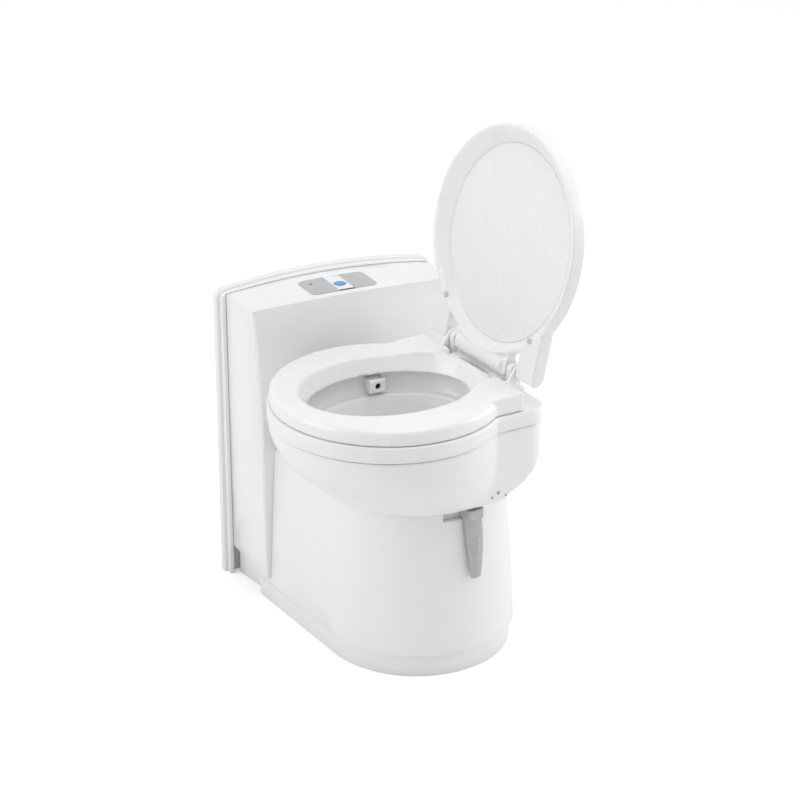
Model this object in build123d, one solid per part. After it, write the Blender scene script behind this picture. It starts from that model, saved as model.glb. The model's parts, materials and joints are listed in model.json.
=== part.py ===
from build123d import *
import math
import os

os.makedirs("parts", exist_ok=True)

# Swivel-bowl cassette toilet. Millimetres; +Z up, +X right and +Y back to the wall.
# The origin is on the floor under the bowl's swivel axis. At rest the bowl's nose
# points to -X (turned by bowl_turn more), the seat is down, the lid is open, the
# waste valve is shut and the waste tank is home in its bay.

# ---- driving dimensions -------------------------------------------------------------
wall = 4.0                # moulded wall of the casings
gap = 0.5                 # working gap between neighbouring casings
run = 0.05                # radial running clearance of a pin in its hole
slip = 0.4                # clearance round pieces that slide or turn in the open

wall_y = 355.0            # wall plane behind the toilet
flange_width = 390.0      # outer wall plate
flange_arch_top = 523.0   # highest point of the arched top
flange_arch_rise = 17.0   # arch height over the plate's full width
flange_corner = 16.0
flange_plate = 12.0       # depth of the outer plate
trim_depth = 12.0         # depth of the inner trim frame
trim_step = 6.0           # how far the trim frame steps in from the plate
trim_drop = 4.0           # and down from its crown

console_width = 364.0
console_bottom = 52.0
console_front_top = 222.0     # y of the front's top edge
console_front_mid = 205.0     # y of the front at mid height
console_front_bottom = 193.0  # y of the front's bottom edge
console_mid_z = 360.0
console_top_front = 513.0     # straight front edge of the top
console_top_back = 515.0      # crown of the top's back edge
console_edge = 5.0        # rounding of the front's side edges
plinth_front_x = 158.0        # half width of the recessed plinth at its front
plinth_back_x = 172.0
plinth_front_y = 240.0

bay_width = 300.0         # service opening of the tank bay
bay_height = 262.0
bay_floor = 6.0

panel_x = -11.0           # control panel on the console's top
panel_y = 271.0
panel_width = 117.0
panel_depth = 67.0
panel_proud = 1.2
window_x = -9.0
window_width = 27.0
button_y = 266.0
button_diameter = 20.0

pedestal_back_y = 239.0
pedestal_top = 278.0
pedestal_half_top = 139.0     # half width across the swivel axis
pedestal_nose_top = 129.0     # front depth ahead of the swivel axis
pedestal_half_low = 157.0
pedestal_nose_low = 145.0
pedestal_flank_top = 164.6    # half width where the flanks meet the console
pedestal_flank_low = 178.1
foot_height = 36.0
foot_half = 149.0             # foot ring at the floor
foot_nose = 138.0
foot_flank = 172.3
foot_step = 2.5               # the foot ring sits this far in under the shell

deck_z = 254.0            # underside of the deck inside the pedestal
deck_plate = 5.0
neck_inner = 84.0         # collar that carries the bowl's bearing
neck_outer = 98.0
neck_top = 274.0
bowl_bottom = 280.0
sleeve_outer = 72.0       # bowl's sleeve through the deck
sleeve_wall = 5.0

bowl_turn = 4.0           # degrees the bowl stands past square at rest
rim_top = 421.0
rim_band_height = 24.0
rim_centre = -61.0        # centre of the oval, measured towards the nose
rim_half_length = 179.5
rim_half_width = 185.5
block_half_width = 148.0  # flat-sided block that carries the hinges
block_back = 142.0
block_corner = 34.0
outlet_radius = 40.0

seat_thickness = 25.0
seat_lift = 1.0           # gap between rim and seat, filled by the buffers
seat_half_length = 177.5
seat_half_width = 183.5
opening_centre = -55.0
opening_half_length = 145.0
opening_half_width = 115.0
opening_slope = 15.0      # how much narrower the opening is at the bottom
arm_top = 452.0
arm_inner = 66.0
arm_front = 30.0
arm_back = 98.0
hinge_x = 118.0
hinge_z = 463.0
hinge_pin_radius = 4.0
knuckle_radius = 10.0

lid_rim = 449.0
lid_edge = 24.0           # depth of the lid's edge
lid_crown = 6.0
lid_half_length = 176.0
lid_half_width = 188.0
lid_panel_centre = -60.0  # oval panel inside the lid, behind the lip
lid_panel_length = 154.0
lid_panel_width = 158.0
lid_panel_z = 466.5
lid_open = 102.0          # degrees from shut to the open rest

gear_module = 2.75
ring_teeth = 64
pinion_teeth = 16
gear_thickness = 8.0
gear_z = 232.0
blade_pivot_y = gear_module * (ring_teeth + pinion_teeth) / 2
lever_angle = -81.0       # where the lever hangs round the neck
lever_travel = 12.0
lever_width = 29.0
lever_tip_z = 163.0
slot_z = 259.0

tank_half_width = 136.0
tank_front = -95.0
tank_back = 345.0
tank_bottom = 26.0
tank_top = 206.0
tank_wall = 3.5
tank_corner = 85.0
rail_top = 12.0
cover_top = 222.0
inlet_radius = 40.0
blade_radius = 47.0
spout_x = 95.0
spout_y = 296.0
spout_radius = 17.0
wheel_radius = 16.0
wheel_x = 108.0
wheel_y = -52.0
bar_radius = 5.0
bar_x = 110.0


# ---- helpers ------------------------------------------------------------------------
def save(node, *solids):
    """Writes one node: a single solid, or a compound of separate solids."""
    found = [s for piece in solids for s in piece.solids()]
    whole = found[0] if len(found) == 1 else Compound(children=found)
    whole.label = node
    export_step(whole, os.path.join("parts", node + ".step"))
    return whole


def turned(shape):
    """Turns a piece of the bowl group to the bowl's rest angle."""
    return Rot(0, 0, bowl_turn) * shape


def tube(outer, inner, low, high, x=0.0, y=0.0):
    """An upright ring between two heights."""
    ring = Circle(outer) - Circle(inner)
    return Pos(x, y, low) * extrude(ring, high - low)


def disc(radius, low, high, x=0.0, y=0.0):
    """An upright round plug between two heights."""
    return Pos(x, y, low) * extrude(Circle(radius), high - low)


def slab(x0, x1, y0, y1, z0, z1):
    """A box between two corners."""
    return Pos((x0 + x1) / 2, (y0 + y1) / 2, (z0 + z1) / 2) * Box(x1 - x0, y1 - y0, z1 - z0)


def rod_y(radius, y0, y1, x, z):
    """A round bar along Y."""
    return Pos(x, (y0 + y1) / 2, z) * Rot(90, 0, 0) * Cylinder(radius, y1 - y0)


def tube_y(outer, inner, y0, y1, x, z):
    """A ring along Y."""
    return rod_y(outer, y0, y1, x, z) - rod_y(inner, y0 - 1, y1 + 1, x, z)


def rod_x(radius, x0, x1, y, z):
    """A round bar along X."""
    return Pos((x0 + x1) / 2, y, z) * Rot(0, 90, 0) * Cylinder(radius, x1 - x0)


def oval(centre, half_length, half_width, z):
    """An oval face lying flat at a height."""
    return Pos(centre, 0, z) * Ellipse(half_length, half_width)


def oval_loft(rows):
    """A smooth body through ovals given as (z, centre, half length, half width)."""
    return loft([oval(c, a, b, z) for z, c, a, b in rows])


round_pull = 0.5523       # control-point pull that makes a curve round like an ellipse


def pedestal_plan(z, half, nose, flank, inset=0.0):
    """U-shaped plan: a rounded nose whose flanks spread towards the console."""
    half, nose, flank = half - inset, nose - inset, flank - inset
    lean = round_pull * nose * (flank - half) / pedestal_back_y
    pull_x, pull_y = round_pull * half, round_pull * nose
    nose_line = Bezier((-half, 0), (lean - half, -pull_y), (-pull_x, -nose), (0, -nose))
    nose_line += Bezier((0, -nose), (pull_x, -nose), (half - lean, -pull_y), (half, 0))
    back = Polyline((half, 0), (flank, pedestal_back_y), (-flank, pedestal_back_y), (-half, 0))
    return Pos(0, 0, z) * make_face(nose_line + back)


def arch_outline(half_width, low, crown, rise, corner):
    """An arched plate outline in X and Z, as a face in the XZ plane at y = 0."""
    side = crown - rise
    outline = Polyline((half_width, side), (half_width, low), (-half_width, low), (-half_width, side))
    top = ThreePointArc((-half_width, side), (0, crown), (half_width, side))
    face = make_face(outline + top)
    if corner:
        face = fillet([v for v in face.vertices() if v.Y > side - 1], corner)
    return Plane.XZ * face


def involute_gear(teeth, play=0.12):
    """A spur gear outline with the first tooth on +X."""
    pitch = gear_module * teeth / 2
    base = pitch * math.cos(math.radians(20))
    tip = pitch + 0.95 * gear_module
    root = pitch - 1.2 * gear_module
    half_tooth = math.pi / (2 * teeth) - play / pitch

    def spread(radius):
        turn = math.acos(min(1.0, base / radius))
        return math.tan(turn) - turn

    start = max(base, root)
    flank = [start + (tip - start) * k / 4 for k in range(5)]
    points = []
    for tooth in range(teeth):
        middle = 2 * math.pi * tooth / teeth
        rising = [(r, middle - half_tooth - spread(pitch) + spread(r)) for r in flank]
        falling = [(r, middle + half_tooth + spread(pitch) - spread(r)) for r in reversed(flank)]
        run_in = [(root, rising[0][1])] if root < start else []
        run_out = [(root, falling[-1][1])] if root < start else []
        points += run_in + rising + falling + run_out
    return make_face(Polyline(*[(r * math.cos(a), r * math.sin(a)) for r, a in points], close=True))


# ---- wall flange, trim and console ----------------------------------------------------
flange_half = flange_width / 2
trim_half = flange_half - trim_step
console_half = console_width / 2
trim_front = wall_y - flange_plate - trim_depth
opening_half = bay_width / 2
inner_half = console_half - wall

plate_face = arch_outline(flange_half, 0, flange_arch_top, flange_arch_rise, flange_corner)
plate = Pos(0, wall_y, 0) * extrude(plate_face, flange_plate)
back_window = slab(-opening_half, opening_half, wall_y - 60, wall_y + 1, bay_floor, bay_height)
screw_half_x = opening_half + 18
screw_low, screw_high = 60.0, 440.0
screw_hole_radius = 2.75
service_window = slab(-opening_half, opening_half, wall_y - 60, wall_y + 1, bay_height + 40, 470)
screw_holes = [
    rod_y(screw_hole_radius, wall_y - 30, wall_y + 5, sx * screw_half_x, sz)
    for sx in (-1, 1)
    for sz in (screw_low, screw_high)
]
inlet_x, inlet_z = -60.0, 490.0
inlet_bore = 7.0
flange = plate - back_window - service_window
for hole in screw_holes:
    flange -= hole
flange -= rod_y(inlet_bore + slip, wall_y - 30, wall_y + 5, inlet_x, inlet_z)
front_edges = flange.edges().filter_by_position(Axis.Y, wall_y - flange_plate, wall_y - flange_plate)
outer_edges = [e for e in front_edges if e.bounding_box().max.X > flange_half - 25 or e.length > 300]
flange = fillet(outer_edges, 2.0)
save("wall_flange", flange)

arch_drop = 13.0          # fall of the console's top from its crown to its sides
trim_face = arch_outline(
    trim_half, 0, flange_arch_top - trim_drop, flange_arch_rise - 1.5, flange_corner - 4)
trim = Pos(0, wall_y - flange_plate, 0) * extrude(trim_face, trim_depth)


def console_body(inset, low):
    """The console's outer form, or its cavity when inset by the wall."""
    side = [
        (console_front_bottom + inset, low),
        (wall_y - flange_plate, low),
        (wall_y - flange_plate, flange_arch_top + 10),
        (console_front_top + inset, flange_arch_top + 10),
        (console_front_top + inset, console_top_front - inset),
    ]
    front = ThreePointArc(
        side[4],
        (console_front_mid + inset, console_mid_z),
        side[0],
    )
    profile = Plane.YZ * make_face(Polyline(*side) + front)
    body = extrude(profile, console_half - inset, both=True)
    if not inset:
        front_sides = body.edges().filter_by(lambda e: e.geom_type == GeomType.CIRCLE)
        body = fillet(front_sides, console_edge)
    back_y = wall_y - flange_plate
    front_y = console_front_bottom - 20
    top_back = arch_outline(console_half + 1, low - 5, console_top_back - inset, arch_drop, 0)
    top_front = arch_outline(console_half + 1, low - 5, console_top_front - inset, 0.4, 0)
    roof = loft([Pos(0, back_y, 0) * top_back, Pos(0, front_y, 0) * top_front])
    return body & roof


console = console_body(0, console_bottom)
cavity = console_body(wall, console_bottom - 1)
save("flange_trim", trim - console_body(-gap, -1))
button_hole = disc(button_diameter / 2 + slip, 480, 530, window_x, button_y)
tank_opening = tank_half_width + 6
bowl_side_cut = slab(-tank_opening, tank_opening, 150, 232, console_bottom - 1, 262)
housing = console - cavity - button_hole - bowl_side_cut
save("console_housing", housing)

plinth = []
for side in (-1, 1):
    outline = Polyline(
        (side * plinth_front_x, plinth_front_y),
        (side * plinth_back_x, trim_front - 1.5),
        (side * (plinth_back_x - wall), trim_front - 1.5),
        (side * (plinth_front_x - wall), plinth_front_y),
        close=True,
    )
    plinth.append(extrude(make_face(outline), console_bottom - gap))
save("console_plinth", *plinth)

# ---- pedestal ---------------------------------------------------------------------
shell_low = foot_height + gap


def pedestal_form(inset, low, high):
    """The pedestal's flared form between two heights, or its cavity when inset."""

    def row(z):
        t = (z - foot_height) / (pedestal_top - foot_height)
        belly = 2.0 * math.sin(math.pi * t)
        return pedestal_plan(
            z,
            pedestal_half_low + (pedestal_half_top - pedestal_half_low) * t + belly,
            pedestal_nose_low + (pedestal_nose_top - pedestal_nose_low) * t + belly,
            pedestal_flank_low + (pedestal_flank_top - pedestal_flank_low) * t + belly,
            inset,
        )

    middle = (low + high) / 2
    return loft([row(low), row(middle), row(high)])


outer = pedestal_form(0, shell_low, pedestal_top)
inner = pedestal_form(wall, shell_low - 1, pedestal_top + 1)
console_front = console_body(-gap, console_bottom - gap)
shell = outer - inner
deck = pedestal_form(wall - 1, deck_z, deck_z + deck_plate)
deck -= disc(sleeve_outer + 8, deck_z - 1, deck_z + deck_plate + 1)
neck = tube(neck_outer, neck_inner, deck_z, neck_top)
# arc slots in the deck let the lever ring's two lugs through
lug_radius = 110.0
lug_half = 5.0
lug_angles = (60.0, 120.0)


def arc_slot(radius, half, start, end, low, high):
    """A curved slot about the swivel axis, from one angle to another."""
    sector = Polyline((0, 0), *[
        (300 * math.cos(math.radians(a)), 300 * math.sin(math.radians(a)))
        for a in [start + (end - start) * k / 4 for k in range(5)]
    ], close=True)
    wedge = Pos(0, 0, low) * extrude(make_face(sector), high - low)
    return tube(radius + half, radius - half, low, high) & wedge


lug_play = 4.0
for angle in lug_angles:
    deck -= arc_slot(lug_radius, lug_half + 1, angle - lever_travel - lug_play, angle + lug_play,
                     deck_z - 1, deck_z + deck_plate + 1)
slot_play = 2.0
lever_half = math.degrees(lever_width / 2 / (pedestal_nose_top + 10))
front_slot = arc_slot(140, 24, lever_angle - lever_travel - lever_half - slot_play,
                      lever_angle + lever_half + 1, slot_z, pedestal_top + 2)
front_slot -= disc(117, 0, 400)
shell = shell + deck + neck - front_slot - console_front
save("pedestal_shell", shell)

foot_outer = loft([
    pedestal_plan(0, foot_half, foot_nose, foot_flank),
    pedestal_plan(foot_height, pedestal_half_low, pedestal_nose_low, pedestal_flank_low, foot_step),
])
foot_inner = loft([
    pedestal_plan(-1, foot_half, foot_nose, foot_flank, wall + 1),
    pedestal_plan(foot_height + 1, pedestal_half_low, pedestal_nose_low, pedestal_flank_low,
                  foot_step + wall + 1),
])
foot_back = slab(-200, 200, plinth_front_y - 2 * gap, 300, -1, 60)
save("pedestal_foot", foot_outer - foot_inner - foot_back)

bolt_half_x, bolt_y0, bolt_y1, bolt_radius = 70.0, 20.0, 300.0, 3.5
frame_plate = slab(-130, 130, 0, 335, 0, bay_floor - 1) + disc(125, 0, bay_floor - 1)
frame_plate -= slab(-45, 45, 60, 290, -1, bay_floor + 1)
for bx in (-bolt_half_x, bolt_half_x):
    for by in (bolt_y0, bolt_y1):
        frame_plate -= disc(bolt_radius, -1, 20, bx, by)
for side in (-1, 1):
    frame_plate += slab(side * wheel_x - 11, side * wheel_x + 11, -55, 335, 0, rail_top)
save("floor_frame", frame_plate)

bearing = tube(neck_outer, neck_inner, neck_top, bowl_bottom - 0.3)
save("swivel_bearing", bearing)

# ---- control panel ------------------------------------------------------------------
panel_blank = slab(panel_x - panel_width / 2, panel_x + panel_width / 2,
                   panel_y - panel_depth / 2, panel_y + panel_depth / 2,
                   console_top_front - 2, 530)
panel_blank = fillet(panel_blank.edges().filter_by(Axis.Z), 11.0)
top_skin = Pos(0, 0, panel_proud) * console_body(0, console_bottom) - console_body(0, console_bottom)
fascia = panel_blank & top_skin
window_cut = slab(window_x - window_width / 2, window_x + window_width / 2,
                  panel_y - panel_depth / 2 - 1, panel_y + panel_depth / 2 + 1, 500, 540)
led_x, led_y = panel_x - 42, panel_y + 14
led_hole = disc(2.6, 500, 540, led_x, led_y)
save("control_panel", fascia - window_cut - led_hole)
bar_depth = 3.0
window_form = (panel_blank & window_cut & top_skin) - button_hole
bar_cut = slab(window_x - 60, window_x + 60, panel_y - panel_depth / 2 - 1,
               panel_y - panel_depth / 2 + bar_depth, 500, 540)
save("panel_window", window_form - bar_cut)
save("display_bar", window_form & bar_cut)
save("level_light", disc(2.6, 500, 540, led_x, led_y) & top_skin)
cap_z = console_top_back - 2
button_top = cap_z + 5.0
flush_button = disc(button_diameter / 2, cap_z - 4, button_top - 2.0, window_x, button_y)
button_cap = fillet(flush_button.edges().group_by(Axis.Z)[-1], 1.0)
button_stem = disc(3.0, 497, cap_z - 4, window_x, button_y)
save("flush_button", button_cap + button_stem)
board = slab(panel_x - 45, panel_x + 45, panel_y - 26, panel_y + 26, 484, 486)
board_box = slab(panel_x + 14, panel_x + 34, panel_y - 12, panel_y + 12, 486, 494)
board_legs = [
    disc(3, 486, 507, panel_x + sx * 41, panel_y + sy * 22) for sx in (-1, 1) for sy in (-1, 1)
]
switch = slab(window_x - 6, window_x + 6, button_y - 6, button_y + 6, 486, 494)
save("control_board", board, board_box, switch)
save("board_standoffs", *board_legs)

# ---- flush water system inside the console ---------------------------------------------
pump_x, pump_y, pump_z = 90.0, 290.0, 330.0
pump = disc(24, pump_z, pump_z + 70, pump_x, pump_y) + disc(30, pump_z - 22, pump_z, pump_x, pump_y)
pump = fillet(pump.edges().group_by(Axis.Z)[-1], 4.0)
save("flush_pump", pump)
shelf = slab(pump_x - 45, pump_x + 45, 250, wall_y - flange_plate, pump_z - 26, pump_z - 22)
save("pump_shelf", shelf)
inlet = rod_y(inlet_bore, wall_y - 45, wall_y, inlet_x, inlet_z)
inlet -= rod_y(4.0, wall_y - 40, wall_y + 1, inlet_x, inlet_z)
inlet += tube_y(11, inlet_bore - 1, wall_y - flange_plate - 5, wall_y - flange_plate, inlet_x, inlet_z)
save("water_inlet", inlet)

# ---- bowl ---------------------------------------------------------------------------
band_low = rim_top - rim_band_height
shell_top = band_low - gap
neck_plate = 5.0
neck_radius = pedestal_half_top + 2.0
neck_pull = 0.885         # how far the bowl's foot has drawn in from the rim to the neck


def hull_rows(inset, low, high):
    """Ovals up the bowl's side, from the neck to the rim band."""
    rows = []
    for step in range(5):
        rise = step / 4
        pull = neck_pull * (1 - rise) ** 2
        rows.append((
            low + (high - low) * rise,
            rim_centre * (1 - pull),
            rim_half_length - (rim_half_length - neck_radius) * pull - inset,
            rim_half_width - (rim_half_width - neck_radius) * pull - inset,
        ))
    return rows


def rounded_plan(back, half_width, corner):
    """Plan of the hinge block: square at the front, rounded at the back."""
    plan = Pos(back / 2, 0) * Rectangle(back, 2 * half_width)
    return fillet([v for v in plan.vertices() if v.X > back - 1], corner)


def block_form(inset, low):
    """The hinge block's body with its rounded underside."""
    b = block_back - inset
    d = block_back - block_curve_start
    top = Polyline((0, low), (0, shell_top + 1), (b, shell_top + 1), (b, shell_top - 12))
    under = Bezier(
        (b, shell_top - 12), (b, low + 0.42 * block_drop), (b - 0.38 * d, low + 0.25 * d), (b - d, low))
    close = Line((b - d, low), (0, low))
    profile = Plane.XZ * make_face(top + under + close)
    prism = extrude(rounded_plan(b, block_half_width - inset, block_corner - inset), 500)
    return extrude(profile, block_half_width + 5, both=True) & prism


block_curve_start = 52.0
block_drop = shell_top - bowl_bottom
hull = oval_loft(hull_rows(0, bowl_bottom, shell_top)) + block_form(0, bowl_bottom)
hollow = oval_loft(hull_rows(wall, bowl_bottom + neck_plate, shell_top + 1))
hollow += block_form(wall, bowl_bottom + neck_plate) & slab(-10, 200, -200, 200, 0, shell_top + 1)
hull = hull & slab(-400, 400, -400, 400, 0, shell_top)
bowl_shell = hull - hollow - disc(sleeve_outer - sleeve_wall, 200, 300)
bowl_shell += tube(sleeve_outer, sleeve_outer - sleeve_wall, deck_z - 7, bowl_bottom + neck_plate)


def rim_outline(grow):
    """Plan of the rim: the oval and the hinge block together."""
    block = rounded_plan(block_back + grow, block_half_width + grow, block_corner + grow)
    return Pos(rim_centre, 0) * Ellipse(rim_half_length + grow, rim_half_width + grow) + block


liner_gap = 0.5
band_grow = 1.5
band_wall = 5.0
liner_top_length = opening_half_length + 10
liner_top_width = opening_half_width + 10
band = Pos(0, 0, band_low) * extrude(rim_outline(band_grow), rim_band_height)
band = fillet(band.edges().group_by(Axis.Z)[-1], 2.5)
band -= Pos(0, 0, band_low - 1) * extrude(rim_outline(band_grow - band_wall), rim_band_height - 6)
band -= Pos(0, 0, band_low - 1) * extrude(
    Pos(opening_centre, 0) * Ellipse(liner_top_length + liner_gap, liner_top_width + liner_gap), 40)

liner_wall = 4.0
ledge_z = 386.0
outlet_bottom = 228.0


def liner_form(grow, drop):
    """The bowl's inner form; grown and dropped by the wall for its outside."""
    c, a, b = opening_centre, liner_top_length - liner_wall, liner_top_width - liner_wall
    upper = oval_loft([
        (rim_top + (0 if grow else 1), c, a + grow, b + grow),
        ((rim_top + ledge_z) / 2, c + 1, a - 5 + grow, b - 5 + grow),
        (ledge_z - drop, c + 2, a - 12 + grow, b - 11 + grow),
    ])
    lower = oval_loft([
        (ledge_z + 1 - drop, c + 3, a - 21 + grow, b - 20 + grow),
        (350 - drop, c + 13, a - 39 + grow, b - 31 + grow),
        (316 - drop, c + 33, a - 71 + grow, b - 49 + grow),
        (292 - drop, 0, outlet_radius + 5 + grow, outlet_radius + 5 + grow),
        (282 - drop, 0, outlet_radius + grow, outlet_radius + grow),
    ])
    return upper + lower + disc(outlet_radius + grow, outlet_bottom - (0 if grow else 1), 286)


nozzle_x, nozzle_z = -20.0, 402.0
nozzle_radius = 5.0
liner_solid = liner_form(liner_wall, 2)
liner = liner_solid - liner_form(0, 0)
liner -= rod_y(nozzle_radius, 60, 160, nozzle_x, nozzle_z)
inside_block = (slab(nozzle_x - 14, nozzle_x + 14, 92, 125, nozzle_z - 11, nozzle_z + 11)
                & liner_form(0, 0))
nozzle_cover = fillet(inside_block.edges().filter_by_position(Axis.Y, 91.5, 92.5), 3.0)
nozzle_cover -= rod_y(nozzle_radius, 60, 160, nozzle_x, nozzle_z)
nozzle = rod_y(nozzle_radius, 96, 132, nozzle_x, nozzle_z) - rod_y(3.2, 90, 128, nozzle_x, nozzle_z)
save("bowl_shell", turned(bowl_shell))
save("rim_band", turned(band))
save("bowl_liner", turned(liner))
save("nozzle_cover", turned(nozzle_cover))
save("flush_nozzle", turned(nozzle))
retainer_low = deck_z - 7
save("swivel_retainer", tube(sleeve_outer + 14, sleeve_outer, retainer_low, deck_z - gap))


def hose(points, radii, radius):
    """A round hose along straight runs joined by arcs."""
    path = FilletPolyline(*points, radius=radii)
    section = Plane(origin=path @ 0, z_dir=path % 0) * Circle(radius)
    return sweep(section, path)


hose_radius = 5.0
save("bowl_hose", turned(hose(
    [(nozzle_x, 132, nozzle_z), (nozzle_x, 152, nozzle_z), (nozzle_x, 152, 330),
     (nozzle_x, 118, 312), (nozzle_x, 118, bowl_bottom + neck_plate)], [9, 14, 12], hose_radius)))
outlet_seal = tube(outlet_radius + liner_wall + 5, outlet_radius + liner_wall, 246, 252)
save("outlet_seal", outlet_seal)

# ---- hinge, seat and lid ----------------------------------------------------------------
lug_gap = 2.0             # side play between neighbouring lugs on the pin
lug_y0, lug_y1 = 76.0, 88.0           # lugs fixed to the bowl
seat_lug_y0, seat_lug_y1 = lug_y1 + lug_gap, 98.0
lid_lug_y0, lid_lug_y1 = seat_lug_y1 + lug_gap, block_half_width - 2


def at_hinge(shape, angle):
    """Turns a shape about the seat and lid hinge."""
    return Pos(hinge_x, 0, hinge_z) * Rot(0, angle, 0) * Pos(-hinge_x, 0, -hinge_z) * shape


def both_sides(shape):
    """A shape and its mirror image across the XZ plane."""
    return [shape, mirror(shape, Plane.XZ)]


def knuckle(radius, y0, y1):
    """A round knuckle on the hinge axis."""
    return rod_y(radius, y0, y1, hinge_x, hinge_z)


hinge_base = slab(arm_back + 4, 138, -lug_y1, lug_y1, rim_top, rim_top + 10)
hinge_base = fillet(hinge_base.edges().filter_by(Axis.Z), 5.0)
lug = slab(hinge_x - 9, hinge_x + 9, lug_y0, lug_y1, rim_top + 9, hinge_z) + knuckle(9, lug_y0, lug_y1)
hinge_block = hinge_base
for piece in both_sides(lug - knuckle(hinge_pin_radius, lug_y0 - 5, lug_y1 + 5)):
    hinge_block += piece
save("hinge_block", turned(hinge_block))
pins = both_sides(knuckle(hinge_pin_radius, lug_y0 - 1, lid_lug_y1 - 4))
save("hinge_pins", *[turned(pin) for pin in pins])
cover_gap_oval = Pos(0, 0, 400) * extrude(
    Pos(opening_centre, 0) * Ellipse(opening_half_length + 18, opening_half_width + 26), 80)
cover_back = block_back + 1
cover_half = arm_inner - 1
hinge_cover = slab(60, cover_back, -cover_half, cover_half, rim_top + 13, 444)
hinge_cover = fillet(hinge_cover.edges().filter_by_position(Axis.X, cover_back - 1, cover_back + 1)
                     .group_by(Axis.Z)[-1], 6.0) - cover_gap_oval
for side in (-1, 1):
    hinge_cover += slab(arm_back + 8, 134, side * 40 - 4, side * 40 + 4, rim_top + 10, rim_top + 14)
save("hinge_cover", turned(hinge_cover))

seat_low = rim_top + seat_lift
seat_top = seat_low + seat_thickness
seat = Pos(rim_centre, 0, seat_low) * extrude(
    Ellipse(seat_half_length, seat_half_width), seat_thickness)
seat = fillet(seat.edges().group_by(Axis.Z)[-1], 11.0)
arm_outline = [
    (0, seat_low), (arm_back, seat_low), (arm_back, arm_top), (arm_front + 30, arm_top),
    (0, seat_top - 1),
]
arm_width = block_half_width - 2 - arm_inner
arm = extrude(Plane.XZ * make_face(Polyline(*arm_outline, close=True)), -arm_width)
arm = Pos(0, arm_inner, 0) * arm
arm = fillet(arm.edges().filter_by(lambda e: e.center().Z > arm_top - 0.1), 3.0)
between = slab(40, 200, -arm_inner, arm_inner, 400, 480) - Pos(0, 0, 390) * extrude(
    Pos(opening_centre, 0) * Ellipse(opening_half_length + 17.3, opening_half_width + 25.3), 100)
slope_length, slope_width = opening_half_length - opening_slope, opening_half_width - opening_slope
opening = loft([
    oval(opening_centre, slope_length, slope_width, seat_low - 0.01),
    oval(opening_centre, opening_half_length, opening_half_width, seat_top - 1),
])
opening += extrude(oval(opening_centre, opening_half_length, opening_half_width, seat_top - 1.01), 20)
seat_lug_outline = [
    (arm_back - 4, seat_low + 2),
    (arm_back + 10, seat_low + 2),
    (hinge_x + 9, hinge_z - 4),
    (hinge_x - 9, hinge_z + 4),
    (arm_back, arm_top - 2),
]
seat_lug_face = Plane.XZ * make_face(Polyline(*seat_lug_outline, close=True))
seat_lug = extrude(seat_lug_face, seat_lug_y0 - seat_lug_y1)
seat_lug = Pos(0, seat_lug_y0, 0) * seat_lug + knuckle(knuckle_radius, seat_lug_y0, seat_lug_y1)
for piece in both_sides(arm + seat_lug):
    seat += piece
seat -= between
seat -= opening
seat -= slab(arm_back, 200, -seat_lug_y0, seat_lug_y0, 400, 460)
for piece in both_sides(knuckle(hinge_pin_radius + run, arm_inner - 5, 160)):
    seat -= piece
save("seat_ring", turned(seat))
buffer_spots = [(-215, 0), (-120, 145), (-120, -145), (62, 110), (62, -110)]
save("seat_buffers", *[turned(disc(6, rim_top + 0.1, seat_low, bx, by)) for bx, by in buffer_spots])

lid_back = hinge_x - 8.0
lid_centre = lid_back - lid_half_length
lid_top = lid_rim + lid_edge
barrel_radius = 16.0
barrel_half = 73.0
dome_radius = (lid_half_length ** 2 + lid_crown ** 2) / (2 * lid_crown)
lid = Pos(lid_centre, 0, lid_rim) * extrude(
    Ellipse(lid_half_length, lid_half_width), lid_edge + lid_crown)
lid = lid & Pos(lid_centre, 0, lid_top + lid_crown - dome_radius) * Sphere(dome_radius)
ear_top = lid_top + lid_crown - 1
ear = slab(31, hinge_x, lid_lug_y0, lid_lug_y1, arm_top + 1.5, ear_top)
ear = fillet(ear.edges().filter_by(Axis.X).filter_by_position(Axis.Z, ear_top - 1, ear_top + 1), 4.0)
ear += knuckle(knuckle_radius, lid_lug_y0, lid_lug_y1)
for piece in both_sides(ear):
    lid += piece
# a barrel round the hinge axis closes the gap behind the cover in every position
lid += slab(80, hinge_x, -barrel_half, barrel_half, arm_top + 3, lid_top - 1)
lid += Pos(hinge_x, 0, hinge_z) * Rot(90, 0, 0) * Cylinder(barrel_radius, 2 * barrel_half)
lid -= loft([
    oval(lid_centre, lid_half_length - 4, lid_half_width - 4, lid_rim - 0.01),
    oval(lid_panel_centre, lid_panel_length, lid_panel_width, lid_panel_z),
])
panel_room = 4.0
lid -= Pos(0, 0, lid_panel_z - 0.5) * extrude(
    Pos(lid_panel_centre, 0) * Ellipse(lid_panel_length, lid_panel_width), panel_room + 0.5)
arm_room = slab(arm_front - 6, 160, arm_inner - 2, 200, 430, arm_top + 1.5)
for piece in both_sides(arm_room):
    lid -= piece
for piece in both_sides(knuckle(hinge_pin_radius + run, lid_lug_y0 - 5, lid_lug_y1 - 3)):
    lid -= piece
save("lid_shell", turned(at_hinge(lid, lid_open)))
inner_panel = Pos(0, 0, lid_panel_z) * extrude(
    Pos(lid_panel_centre, 0) * Ellipse(lid_panel_length - gap, lid_panel_width - gap), panel_room)
inner_panel = fillet(inner_panel.edges().group_by(Axis.Z)[0], 1.5)
save("lid_inner_panel", turned(at_hinge(inner_panel, lid_open)))
lid_buffers = both_sides(disc(5, arm_top + 0.3, arm_top + 1.5, 60, 120))
save("lid_buffers", *[turned(at_hinge(b, lid_open)) for b in lid_buffers])

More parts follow.
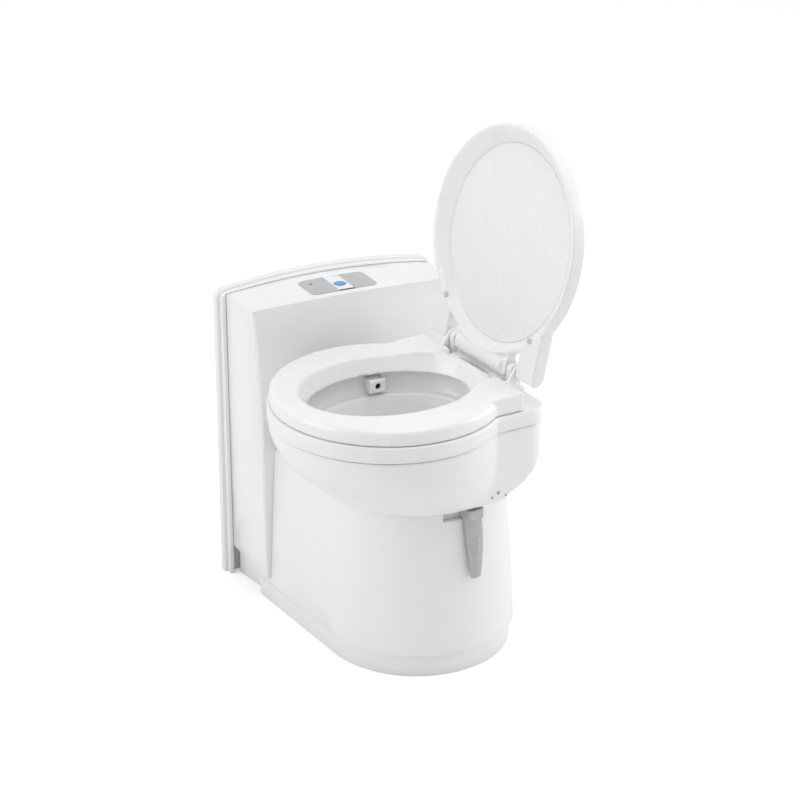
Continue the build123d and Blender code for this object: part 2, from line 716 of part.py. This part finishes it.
# ---- valve lever ------------------------------------------------------------------------
ring_outer, ring_inner = 123.0, 117.0
ring_low = deck_z + deck_plate + slip
lever_ring = tube(ring_outer, ring_inner, ring_low, pedestal_top - 1)
lever_ring += tube(ring_outer, neck_outer + 2, ring_low, ring_low + 3)
lug_low = gear_z + 13
for angle in lug_angles:
    lever_ring += arc_slot(lug_radius, lug_half, angle - 2.5, angle + 2.5, lug_low, ring_low + 2)
save("lever_ring", lever_ring)
sector_gear = extrude(involute_gear(ring_teeth), gear_thickness + 0.6) - disc(outlet_radius + 8, -1, 20)
for angle in lug_angles:
    sector_gear += Rot(0, 0, angle) * slab(55, 116, -6, 6, gear_thickness + 0.3, 13)
sector_gear = Pos(0, 0, gear_z) * sector_gear
save("sector_gear", sector_gear)
hub_in = ring_outer
hub_out = pedestal_nose_top + 20
hub = slab(-lever_width / 2, lever_width / 2, -hub_out, -hub_in + 3, slot_z + 3, pedestal_top - 1.5)
hub = fillet(hub.edges().filter_by_position(Axis.Y, -hub_out - 1, -hub_out + 1).filter_by(Axis.Z), 5.0)
hub -= tube(ring_outer, 50, 200, 300)
blade_rows = [
    (slot_z + 4, lever_width, hub_out - 11, 12.0),
    ((slot_z + lever_tip_z) / 2, lever_width * 0.86, pedestal_nose_top + 17, 11.0),
    (lever_tip_z, lever_width * 0.55, pedestal_nose_low + 3, 6.0),
]
grip = loft([
    Pos(0, -depth, z) * make_face(Polyline(
        (-width / 2, thick / 2), (width / 2, thick / 2), (width / 2, -thick * 0.2), (0, -thick / 2),
        (-width / 2, -thick * 0.2), close=True))
    for z, width, depth, thick in blade_rows
])
lever = hub + grip
lever -= disc(5.5, pedestal_top - 9, 300, 0, -(hub_out - 11))
save("lever_handle", Rot(0, 0, lever_angle + 90) * lever)

# ---- cassette ---------------------------------------------------------------------------


def tank_plan(inset):
    """Plan of the waste tank: round-cornered at the front, square at the back."""
    half = tank_half_width - inset
    front, back = tank_front + inset, tank_back - inset
    plan = Pos(0, (front + back) / 2) * Rectangle(2 * half, back - front)
    plan = fillet([v for v in plan.vertices() if v.Y < 0], tank_corner - inset)
    return fillet([v for v in plan.vertices() if v.Y > 200], 12.0)


tank = Pos(0, 0, tank_bottom) * extrude(tank_plan(0), tank_top - tank_bottom)
tank = fillet(tank.edges().group_by(Axis.Z)[-1], 5.0)
tank = fillet(tank.edges().group_by(Axis.Z)[0], 5.0)
cavity = Pos(0, 0, tank_bottom + tank_wall) * extrude(
    tank_plan(tank_wall), tank_top - tank_bottom - 2 * tank_wall)
wheel_z = rail_top + 0.3 + wheel_radius
grip_z = 150.0


def recesses(grow):
    """Pockets in the tank's walls: two wheel wells, the axle's channel and the grip's pocket."""
    half_x, half_y = 10 + grow, 20 + grow
    well_top = wheel_z + wheel_radius + 2 + grow
    wells = [
        slab(side * wheel_x - half_x, side * wheel_x + half_x, wheel_y - half_y, wheel_y + half_y,
             tank_bottom - 5, well_top)
        for side in (-1, 1)
    ]
    channel = slab(-119 - grow, 119 + grow, wheel_y - 5 - grow, wheel_y + 5 + grow, tank_bottom - 5,
                   wheel_z + 6 + grow)
    pocket = slab(-55 - grow, 55 + grow, tank_back - 36 - grow, tank_back + 5, grip_z - 32 - grow,
                  grip_z + 18 + grow)
    return wells + [channel, pocket]


for pocket in recesses(tank_wall):
    cavity -= pocket
tank -= cavity
for pocket in recesses(0):
    tank -= pocket
tank -= disc(inlet_radius, tank_top - 10, tank_top + 5)
tank -= disc(spout_radius - 3, tank_top - 10, tank_top + 5, spout_x, spout_y)
vent_x, vent_y = -100.0, 250.0
tank -= disc(3.0, tank_top - 10, tank_top + 5, vent_x, vent_y)
save("tank_shell", tank)
grip_bar = rod_x(8, -55, 55, tank_back - 9, grip_z)
save("carry_grip", grip_bar)

cover_x0, cover_x1, cover_y0, cover_y1 = -58.0, 134.5, -54.0, 132.0
cover = slab(cover_x0, cover_x1, cover_y0, cover_y1, tank_top, cover_top)
cover = fillet(cover.edges().filter_by(Axis.Z), 12.0)
cover -= slab(cover_x0 + 3, cover_x1 - 3, cover_y0 + 3, cover_y1 - 3, tank_top - 1, tank_top + 8)
cover -= disc(inlet_radius, 200, 240)
shaft_radius = 6.0
cover -= disc(shaft_radius + run, 200, 240, 0, blade_pivot_y)
save("tank_cover", cover & (Pos(0, 0, 200) * extrude(tank_plan(1), 40)))
seal = tube(inlet_radius + 6, inlet_radius + 1, cover_top, outlet_bottom - 0.4)
save("lip_seal", seal)
blade_low = tank_top + 2
blade = disc(blade_radius - 1, blade_low, blade_low + 4)
blade += slab(-11, 11, 20, blade_pivot_y, blade_low, blade_low + 4)
blade += disc(14, blade_low, blade_low + 5.5, 0, blade_pivot_y)
blade += disc(shaft_radius, blade_low, gear_z + gear_thickness - 0.2, 0, blade_pivot_y)
save("valve_blade", blade)
pinion = Rot(0, 0, 180 / pinion_teeth) * extrude(involute_gear(pinion_teeth), gear_thickness - 0.2)
pinion = Pos(0, blade_pivot_y, gear_z) * pinion - disc(shaft_radius, 200, 260, 0, blade_pivot_y)
save("blade_pinion", pinion)

vent_housing = tube(12, 9, tank_top, tank_top + 8, vent_x, vent_y)
save("vent_boss", vent_housing)
vent_button = disc(8.5, tank_top + 3.5, tank_top + 12, vent_x, vent_y)
save("vent_button", fillet(vent_button.edges().group_by(Axis.Z)[-1], 2.0))

socket = tube(27, 20, tank_top, tank_top + 6, spout_x, spout_y)
save("spout_socket", socket)
tube_z = tank_top + 26
spout_length = 150.0
spout = disc(19.6, tank_top + 0.4, tank_top + 8, spout_x, spout_y)
spout_body = disc(24, tank_top + 6.4, tube_z + spout_radius + 1, spout_x, spout_y)
spout += fillet(spout_body.edges().group_by(Axis.Z)[-1], 5.0)
spout += rod_x(spout_radius, spout_x - spout_length, spout_x, spout_y, tube_z)
spout -= rod_x(spout_radius - 3, spout_x - spout_length - 1, spout_x, spout_y, tube_z)
spout -= disc(spout_radius - 3, tank_top - 1, tube_z, spout_x, spout_y)
save("emptying_spout", spout)
cap_end = spout_x - spout_length
cap = rod_x(spout_radius + 3, cap_end - 4, cap_end + 14, spout_y, tube_z)
cap -= rod_x(spout_radius + run, cap_end - 0.3, cap_end + 15, spout_y, tube_z)
save("spout_cap", cap)

guide_low = rail_top + 0.3
bar_z = (guide_low + tank_bottom) / 2
guides = []
for side in (-1, 1):
    guide = slab(side * bar_x - 12, side * bar_x + 12, 60, 330, guide_low, tank_bottom)
    guides.append(guide - rod_y(bar_radius + run, 50, 340, side * bar_x, bar_z))
save("handle_guides", *guides)
bar_y = wall_y - bar_radius - 1
trolley = rod_x(bar_radius, -bar_x, bar_x, bar_y, bar_z)
for side in (-1, 1):
    trolley += rod_y(bar_radius, 70, bar_y, side * bar_x, bar_z)
    trolley += Pos(side * bar_x, bar_y, bar_z) * Sphere(bar_radius)
save("trolley_handle", trolley)
axle_radius = 3.0
for name, side in (("wheel_left", -1), ("wheel_right", 1)):
    wheel = rod_x(wheel_radius, side * wheel_x - 7, side * wheel_x + 7, wheel_y, wheel_z)
    wheel = fillet(wheel.edges(), 1.5)
    save(name, wheel - rod_x(axle_radius + run, -130, 130, wheel_y, wheel_z))
save("wheel_axle", rod_x(axle_radius, -118.5, 118.5, wheel_y, wheel_z))
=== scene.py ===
"""Looks of the swivel-bowl cassette toilet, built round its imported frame."""

import json
import math

import bpy
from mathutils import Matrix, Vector


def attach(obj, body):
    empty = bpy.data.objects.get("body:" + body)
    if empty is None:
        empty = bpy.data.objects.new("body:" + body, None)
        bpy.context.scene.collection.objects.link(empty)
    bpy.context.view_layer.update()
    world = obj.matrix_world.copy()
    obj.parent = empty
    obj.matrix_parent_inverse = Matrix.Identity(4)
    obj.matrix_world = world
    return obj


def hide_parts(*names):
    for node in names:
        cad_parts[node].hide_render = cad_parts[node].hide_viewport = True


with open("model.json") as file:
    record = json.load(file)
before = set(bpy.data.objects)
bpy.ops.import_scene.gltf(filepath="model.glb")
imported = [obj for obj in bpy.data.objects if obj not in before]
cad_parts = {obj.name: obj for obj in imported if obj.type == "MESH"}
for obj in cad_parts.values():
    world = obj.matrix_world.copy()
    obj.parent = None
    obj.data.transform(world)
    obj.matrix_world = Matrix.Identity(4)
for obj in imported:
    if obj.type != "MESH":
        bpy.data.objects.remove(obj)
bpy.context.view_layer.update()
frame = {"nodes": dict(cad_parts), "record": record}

MM = 0.001
MERGE_GAP = 0.02 * MM       # corners of the loose CAD triangles closer than this are one
DOT_DEPTH = 0.6 * MM        # half of it stands proud of the moulding


# ---- shader maths ---------------------------------------------------------------------
class Value:
    """A shader socket that adds Math nodes when it is used in arithmetic."""

    def __init__(self, finish, socket):
        self.finish = finish
        self.socket = socket

    def __add__(self, other):
        return self.finish.maths("ADD", self, other)

    def __mul__(self, other):
        return self.finish.maths("MULTIPLY", self, other)

    __radd__ = __add__
    __rmul__ = __mul__


class Finish:
    """A material under construction, with one method that adds nodes."""

    def __init__(self, name):
        self.material = bpy.data.materials.new(name)
        self.material.use_nodes = True
        self.tree = self.material.node_tree
        self.shader = self.tree.nodes["Principled BSDF"]
        self.place = self.node("ShaderNodeTexCoord", {}, {}, "Object")

    def node(self, kind, settings, inputs, output=0):
        """Adds a node, sets its settings and then its sockets, and returns one of its outputs."""
        made = self.tree.nodes.new(kind)
        for key, value in settings.items():
            setattr(made, key, value)
        for key, value in inputs.items():
            self.feed(made.inputs[key], value)
        return Value(self, made.outputs[output])

    def feed(self, socket, value):
        """Links a value into a socket, or writes a constant on it."""
        if isinstance(value, Value):
            self.tree.links.new(value.socket, socket)
        else:
            socket.default_value = value

    def maths(self, operation, first, second):
        """One Math node."""
        return self.node("ShaderNodeMath", {"operation": operation}, {0: first, 1: second})

    def noise(self, scale, detail=2.0, stretch=(1, 1, 1)):
        """Noise between 0 and 1; scale is in features per metre."""
        place = self.place
        if stretch != (1, 1, 1):
            place = self.node("ShaderNodeMapping", {}, {"Vector": place, "Scale": stretch})
        return self.node("ShaderNodeTexNoise", {}, {"Vector": place, "Scale": scale, "Detail": detail})

    def mask(self, value, low, high):
        """0 below low, 1 above high, smooth between."""
        return self.node(
            "ShaderNodeMapRange",
            {"interpolation_type": "SMOOTHSTEP"},
            {"Value": value, "From Min": low, "From Max": high},
        )

    def mixed(self, amount, first, second):
        """A colour between two colours."""
        return self.node("ShaderNodeMix", {"data_type": "RGBA"}, {0: amount, 6: first, 7: second}, 2)

    def bumps(self, *layers):
        """Stacks bump layers given as (height, distance in metres, strength)."""
        normal = None
        for height, distance, strength in layers:
            inputs = {"Height": height, "Distance": distance, "Strength": strength}
            if normal:
                inputs["Normal"] = normal
            normal = self.node("ShaderNodeBump", {}, inputs)
        self.feed(self.shader.inputs["Normal"], normal)

    def set(self, **values):
        """Writes shader sockets by their names, with _ for a space."""
        for key, value in values.items():
            self.feed(self.shader.inputs[key.replace("_", " ")], value)
        return self.material


def grey(level, tint=(0, 0, 0)):
    """A near-neutral colour."""
    return (level + tint[0], level + tint[1], level + tint[2], 1)


def toned(colour, factor):
    """The same colour, darker or brighter."""
    return tuple(min(1.0, c * factor) for c in colour[:3]) + (1,)


# ---- finishes -------------------------------------------------------------------------
def moulded(name, colour, roughness, coat, grain, grain_depth, fade=0.988, worn=0.0):
    """Injection-moulded plastic: fine grain, faint sink waves, soft mottling and rubbed edges."""
    f = Finish(name)
    fine = f.noise(grain, 3)
    broad = f.noise(9, 2)
    cloud = f.noise(14, 3)
    shade = f.mixed(f.mask(cloud, 0.25, 0.75), toned(colour, fade), colour)
    if worn:
        edge = f.mask(f.node("ShaderNodeNewGeometry", {}, {}, "Pointiness"), 0.52, 0.6)
        shade = f.mixed(edge * worn, shade, toned(colour, 1.25))
    f.bumps((broad, 0.0002, 0.08), (fine, grain_depth, 0.08))
    return f.set(
        Base_Color=shade,
        Roughness=f.mask(cloud, 0.25, 0.75) * 0.07 + (roughness - 0.035),
        Coat_Weight=coat,
        Coat_Roughness=0.12,
        IOR=1.52,
    )


def blow_moulded(name, colour):
    """Waxy tank plastic with soft flow marks that run up the walls."""
    f = Finish(name)
    flow = f.noise(22, 3, (1, 1, 0.18))
    speckle = f.noise(900, 2)
    f.bumps((flow, 0.0006, 0.3), (speckle, 0.0001, 0.3))
    return f.set(
        Base_Color=f.mixed(f.mask(flow, 0.3, 0.75), toned(colour, 0.93), colour),
        Roughness=f.mask(flow, 0.3, 0.7) * 0.12 + 0.42,
        Subsurface_Weight=0.06,
        Subsurface_Scale=0.01,
    )


def brushed(name, colour, direction):
    """Drawn steel with fine lines along one axis."""
    f = Finish(name)
    lines = f.noise(260, 2, direction)
    blotch = f.noise(30, 3)
    f.bumps((lines, 0.00008, 0.35),)
    return f.set(
        Base_Color=f.mixed(f.mask(blotch, 0.3, 0.7), toned(colour, 0.82), colour),
        Metallic=1.0,
        Roughness=f.mask(lines, 0.3, 0.7) * 0.16 + 0.22,
    )


def rubber(name, level):
    """Soft matt rubber with a bloom of dust in its grain."""
    f = Finish(name)
    grain = f.noise(1500, 2)
    bloom = f.noise(60, 4)
    f.bumps((grain, 0.00012, 0.4),)
    return f.set(
        Base_Color=f.mixed(f.mask(bloom, 0.4, 0.75), grey(level), grey(level * 1.7 + 0.01)),
        Roughness=f.mask(bloom, 0.3, 0.8) * 0.15 + 0.62,
    )


def printed_film(name, colour):
    """Satin metallic film laid over the flush panel."""
    f = Finish(name)
    flakes = f.noise(4200, 1)
    cloud = f.noise(70, 3)
    f.bumps((flakes, 0.00003, 0.2),)
    return f.set(
        Base_Color=f.mixed(f.mask(flakes, 0.35, 0.7), toned(colour, 0.9), colour),
        Metallic=0.2,
        Roughness=f.mask(cloud, 0.3, 0.7) * 0.08 + 0.34,
        Coat_Weight=0.3,
        Coat_Roughness=0.2,
    )


def tinted_window(name, colour):
    """Dark gloss window with faint smudges."""
    f = Finish(name)
    smudge = f.noise(120, 4)
    return f.set(
        Base_Color=f.mixed(f.mask(smudge, 0.4, 0.8), colour, toned(colour, 1.4)),
        Roughness=f.mask(smudge, 0.4, 0.8) * 0.18 + 0.06,
        Coat_Weight=0.8,
    )


def circuit_board(name):
    """Green solder resist over faint copper tracks."""
    f = Finish(name)
    tracks = f.node("ShaderNodeTexBrick", {"offset": 0.5}, {
        "Vector": f.place, "Scale": 90.0, "Mortar Size": 0.03,
    }, "Fac")
    return f.set(
        Base_Color=f.mixed(tracks, (0.02, 0.16, 0.07, 1), (0.06, 0.27, 0.12, 1)),
        Roughness=f.noise(200, 2) * 0.2 + 0.25,
    )


casing_white = moulded("casing_white", grey(0.885), 0.33, 0.25, 380, 0.00003)
liner_white = moulded("liner_white", grey(0.875), 0.2, 0.5, 300, 0.00002)
seat_white = moulded("seat_white", grey(0.89), 0.27, 0.35, 420, 0.00002)
panel_white = moulded("panel_white", grey(0.87, (0, 0.002, 0.004)), 0.3, 0.3, 1600, 0.00004)
works_white = moulded("works_white", grey(0.74, (0, 0, -0.02)), 0.5, 0.0, 1100, 0.00008, 0.93)
lever_grey = moulded("lever_grey", grey(0.47, (0, 0.003, 0.008)), 0.36, 0.2, 1800, 0.00006, 0.95, 0.3)
frame_grey = moulded("frame_grey", grey(0.20), 0.55, 0.0, 1000, 0.00010, 0.9, 0.5)
cap_dark = moulded("cap_dark", grey(0.028), 0.42, 0.1, 1400, 0.00008, 0.8, 0.8)
blade_grey = moulded("blade_grey", grey(0.33, (-0.01, 0, 0.015)), 0.3, 0.2, 1400, 0.00004, 0.94, 0.3)
key_blue = moulded("key_blue", (0.012, 0.27, 0.68, 1), 0.2, 0.6, 1500, 0.00003, 0.93, 0.2)
mark_grey = moulded("mark_grey", grey(0.36, (0, 0.003, 0.008)), 0.4, 0.1, 1500, 0.00003, 0.95)
tank_grey = blow_moulded("tank_grey", grey(0.55, (0, 0.002, 0.008)))
steel_x = brushed("steel_x", grey(0.62), (0.02, 1, 1))
steel_y = brushed("steel_y", grey(0.62), (1, 0.02, 1))
seal_rubber = rubber("seal_rubber", 0.018)
buffer_rubber = rubber("buffer_rubber", 0.55)
fascia_film = printed_film("fascia_film", grey(0.53, (0, 0.002, 0.006)))
display_dark = tinted_window("display_dark", (0.008, 0.018, 0.045, 1))
board_green = circuit_board("board_green")


# ---- mesh helpers -----------------------------------------------------------------------
def only(obj):
    """Makes one object the only selected and active one."""
    bpy.ops.object.select_all(action="DESELECT")
    obj.hide_set(False)
    obj.select_set(True)
    bpy.context.view_layer.objects.active = obj


def copied(node, name):
    """A copy of a CAD node's mesh with its loose triangles merged."""
    source = frame["nodes"][node]
    made = bpy.data.objects.new(name, source.data.copy())
    bpy.context.scene.collection.objects.link(made)
    only(made)
    bpy.ops.object.mode_set(mode="EDIT")
    bpy.ops.mesh.select_all(action="SELECT")
    bpy.ops.mesh.remove_doubles(threshold=MERGE_GAP)
    bpy.ops.mesh.dissolve_degenerate(threshold=MERGE_GAP)
    bpy.ops.object.mode_set(mode="OBJECT")
    return made


def painted(obj, material):
    """Gives a piece one finish all over."""
    obj.data.materials.clear()
    obj.data.materials.append(material)
    return obj


def applied(obj, kind, **settings):
    """Adds a modifier to a piece and applies it."""
    modifier = obj.modifiers.new(kind.lower(), kind)
    for key, value in settings.items():
        setattr(modifier, key, value)
    only(obj)
    bpy.ops.object.modifier_apply(modifier=modifier.name)


def shaded(obj, degrees=35):
    """Smooth shading with creases at real edges."""
    only(obj)
    bpy.ops.object.shade_smooth_by_angle(angle=math.radians(degrees))
    return obj


def settled(obj, body, slot, *nodes):
    """Lets a piece ride on a body and stand for CAD nodes."""
    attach(obj, body)
    if nodes:
        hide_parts(*nodes)
    return obj


def body_of(node):
    """The body that a CAD node belongs to."""
    groups = frame["record"]["behaviour"]["bodies"]
    return next(body for body, members in groups.items() if node in members)


def slot_of(node):
    """The record's material slot of a CAD node."""
    return next(row["material_slot"] for row in frame["record"]["subparts"] if row["node"] == node)


def crisp(node, material, edge=0.5, segments=2, degrees=35):
    """A hard moulded or machined piece: the CAD shape with its edges broken."""
    made = copied(node, node + "_moulding")
    applied(
        made, "BEVEL", width=edge * MM, segments=segments, limit_method="ANGLE",
        angle_limit=math.radians(degrees), use_clamp_overlap=True, harden_normals=False,
    )
    painted(made, material)
    shaded(made, degrees)
    return settled(made, body_of(node), slot_of(node), node)


def soft(node, material, voxel, rounds, factor=0.5):
    """A soft-edged moulding: the CAD shape remeshed evenly and relaxed, so that its edges turn round."""
    made = copied(node, node + "_moulding")
    applied(made, "REMESH", mode="VOXEL", voxel_size=voxel * MM, adaptivity=0.0)
    applied(made, "SMOOTH", factor=factor, iterations=rounds)
    painted(made, material)
    only(made)
    bpy.ops.object.shade_smooth()
    return settled(made, body_of(node), slot_of(node), node)


# ---- the toilet's mouldings -------------------------------------------------------------
soft("seat_ring", seat_white, 2.0, 14)
bowl = soft("bowl_shell", casing_white, 2.6, 8)
soft("lid_shell", seat_white, 1.9, 9)
soft("bowl_liner", liner_white, 2.4, 8)
crisp("rim_band", casing_white, 0.8)
crisp("lid_inner_panel", seat_white, 0.6)
crisp("hinge_cover", casing_white, 1.0)
crisp("pedestal_shell", casing_white, 0.8)
crisp("pedestal_foot", casing_white, 0.8)
crisp("console_housing", casing_white, 1.0)
crisp("console_plinth", casing_white, 0.6)
crisp("wall_flange", casing_white, 0.8)
crisp("flange_trim", casing_white, 1.2)
crisp("nozzle_cover", liner_white, 0.8)
crisp("lever_handle", lever_grey, 1.2, 3)
crisp("control_panel", fascia_film, 0.35)
crisp("panel_window", panel_white, 0.35)
crisp("display_bar", display_dark, 0.2)
crisp("level_light", display_dark, 0.2)
crisp("flush_button", key_blue, 0.4)
crisp("hinge_block", casing_white, 0.6)
crisp("tank_shell", tank_grey, 1.5, 3)
crisp("tank_cover", tank_grey, 1.0)
crisp("emptying_spout", tank_grey, 0.8)
crisp("spout_socket", tank_grey, 0.6)
crisp("vent_boss", tank_grey, 0.6)
crisp("carry_grip", tank_grey, 2.0, 3)
crisp("spout_cap", cap_dark, 0.8)
crisp("vent_button", cap_dark, 0.4)
crisp("wheel_left", cap_dark, 0.5)
crisp("wheel_right", cap_dark, 0.5)
crisp("floor_frame", frame_grey, 0.6)
crisp("handle_guides", frame_grey, 0.8)
crisp("lever_ring", works_white, 0.4)
crisp("sector_gear", works_white, 0.25)
crisp("blade_pinion", works_white, 0.25)
crisp("valve_blade", blade_grey, 0.5)
crisp("swivel_bearing", works_white, 0.4)
crisp("swivel_retainer", works_white, 0.4)
crisp("flush_pump", cap_dark, 1.0)
crisp("pump_shelf", works_white, 0.5)
crisp("water_inlet", cap_dark, 0.4)
crisp("trolley_handle", steel_y, 0.3)
crisp("hinge_pins", steel_y, 0.4)
crisp("wheel_axle", steel_x, 0.3)
crisp("board_standoffs", works_white, 0.2)
crisp("control_board", board_green, 0.2)
crisp("flush_nozzle", cap_dark, 0.2)
crisp("bowl_hose", seal_rubber, 0.2)
crisp("outlet_seal", seal_rubber, 0.5)
crisp("lip_seal", seal_rubber, 0.5)
crisp("seat_buffers", buffer_rubber, 0.2)
crisp("lid_buffers", buffer_rubber, 0.2)


# ---- marks beside the lever -------------------------------------------------------------
def dot(name, over, start, radius):
    """A printed dot laid on a moulding, where a level line from the front meets it."""
    _, place, normal, _ = over.ray_cast(Vector(start), Vector((0, 1, 0)))
    bpy.ops.object.select_all(action="DESELECT")
    bpy.ops.mesh.primitive_cylinder_add(vertices=48, radius=radius, depth=DOT_DEPTH)
    made = bpy.context.active_object
    made.name = name
    made.rotation_euler = normal.to_track_quat("Z", "Y").to_euler()
    made.location = place
    bpy.ops.object.transform_apply(location=True, rotation=True, scale=True)
    painted(made, mark_grey)
    shaded(made)
    return settled(made, "bowl", "lever_grey")


dot("open_mark", bowl, (0.061, -0.5, 0.297), 0.0030)
dot("shut_mark", bowl, (0.075, -0.5, 0.290), 0.0022)
dot("middle_mark", bowl, (0.050, -0.5, 0.291), 0.0022)


# ---- studio -----------------------------------------------------------------------------
def camera_only(finish, seen, felt):
    """One grey level for the camera and another for every other ray."""
    looking = finish.node("ShaderNodeLightPath", {}, {}, "Is Camera Ray")
    return finish.mixed(looking, grey(felt), grey(seen))


def softbox(name, place, aim, size, power):
    """A square area light turned towards a point."""
    data = bpy.data.lights.new(name, "AREA")
    data.shape = "SQUARE"
    data.size = size
    data.energy = power
    lamp = bpy.data.objects.new(name, data)
    bpy.context.scene.collection.objects.link(lamp)
    lamp.location = place
    lamp.rotation_euler = (Vector(aim) - Vector(place)).to_track_quat("-Z", "Y").to_euler()


def studio():
    """Pale floor, white surround, soft lights and the camera."""
    bpy.ops.object.select_all(action="DESELECT")
    bpy.ops.mesh.primitive_plane_add(size=16, location=(0, 0, -0.0005))
    floor = bpy.context.active_object
    floor.name = "studio_floor"
    f = Finish("studio_floor")
    glow = camera_only(f, 1.0, 0.0)
    f.set(Base_Color=grey(0.9), Roughness=0.9, Emission_Color=glow, Emission_Strength=0.32)
    floor.data.materials.append(f.material)

    world = bpy.data.worlds.new("studio")
    bpy.context.scene.world = world
    world.use_nodes = True
    tree = world.node_tree
    # the surround is dimmer behind the camera, so the front reads darker than the sides
    looking = tree.nodes.new("ShaderNodeLightPath")
    direction = tree.nodes.new("ShaderNodeTexCoord")
    towards_camera = tree.nodes.new("ShaderNodeVectorMath")
    towards_camera.operation = "DOT_PRODUCT"
    tree.links.new(direction.outputs["Generated"], towards_camera.inputs[0])
    towards_camera.inputs[1].default_value = (-0.42, -0.84, 0.34)
    surround = tree.nodes.new("ShaderNodeMapRange")
    surround.interpolation_type = "SMOOTHSTEP"
    tree.links.new(towards_camera.outputs["Value"], surround.inputs["Value"])
    surround.inputs["From Min"].default_value = 0.0
    surround.inputs["From Max"].default_value = 1.0
    surround.inputs["To Min"].default_value = 0.84
    surround.inputs["To Max"].default_value = 0.52
    levels = tree.nodes.new("ShaderNodeMix")
    tree.links.new(looking.outputs["Is Camera Ray"], levels.inputs[0])
    tree.links.new(surround.outputs[0], levels.inputs[2])
    levels.inputs[3].default_value = 1.0
    tree.links.new(levels.outputs[0], tree.nodes["Background"].inputs["Strength"])
    tree.nodes["Background"].inputs["Color"].default_value = (0.985, 0.99, 1.0, 1)

    softbox("right", (2.3, -0.5, 1.2), (0.05, 0, 0.3), 1.5, 17)
    softbox("left", (-2.3, 0.3, 1.4), (0, 0.05, 0.35), 1.5, 14)
    softbox("top", (0.1, -0.5, 2.6), (0, 0, 0.3), 1.6, 12)

    camera_data = bpy.data.cameras.new("camera")
    camera_data.sensor_width = 36.0
    camera_data.lens = 102.34
    camera = bpy.data.objects.new("camera", camera_data)
    bpy.context.scene.collection.objects.link(camera)
    camera.location = (-1.4860, -2.8798, 1.7665)
    aim = Vector((-0.0340, 0.0, 0.4143))
    camera.rotation_euler = (aim - camera.location).to_track_quat("-Z", "Y").to_euler()
    bpy.context.scene.camera = camera
    bpy.context.scene.view_settings.view_transform = "Standard"


studio()
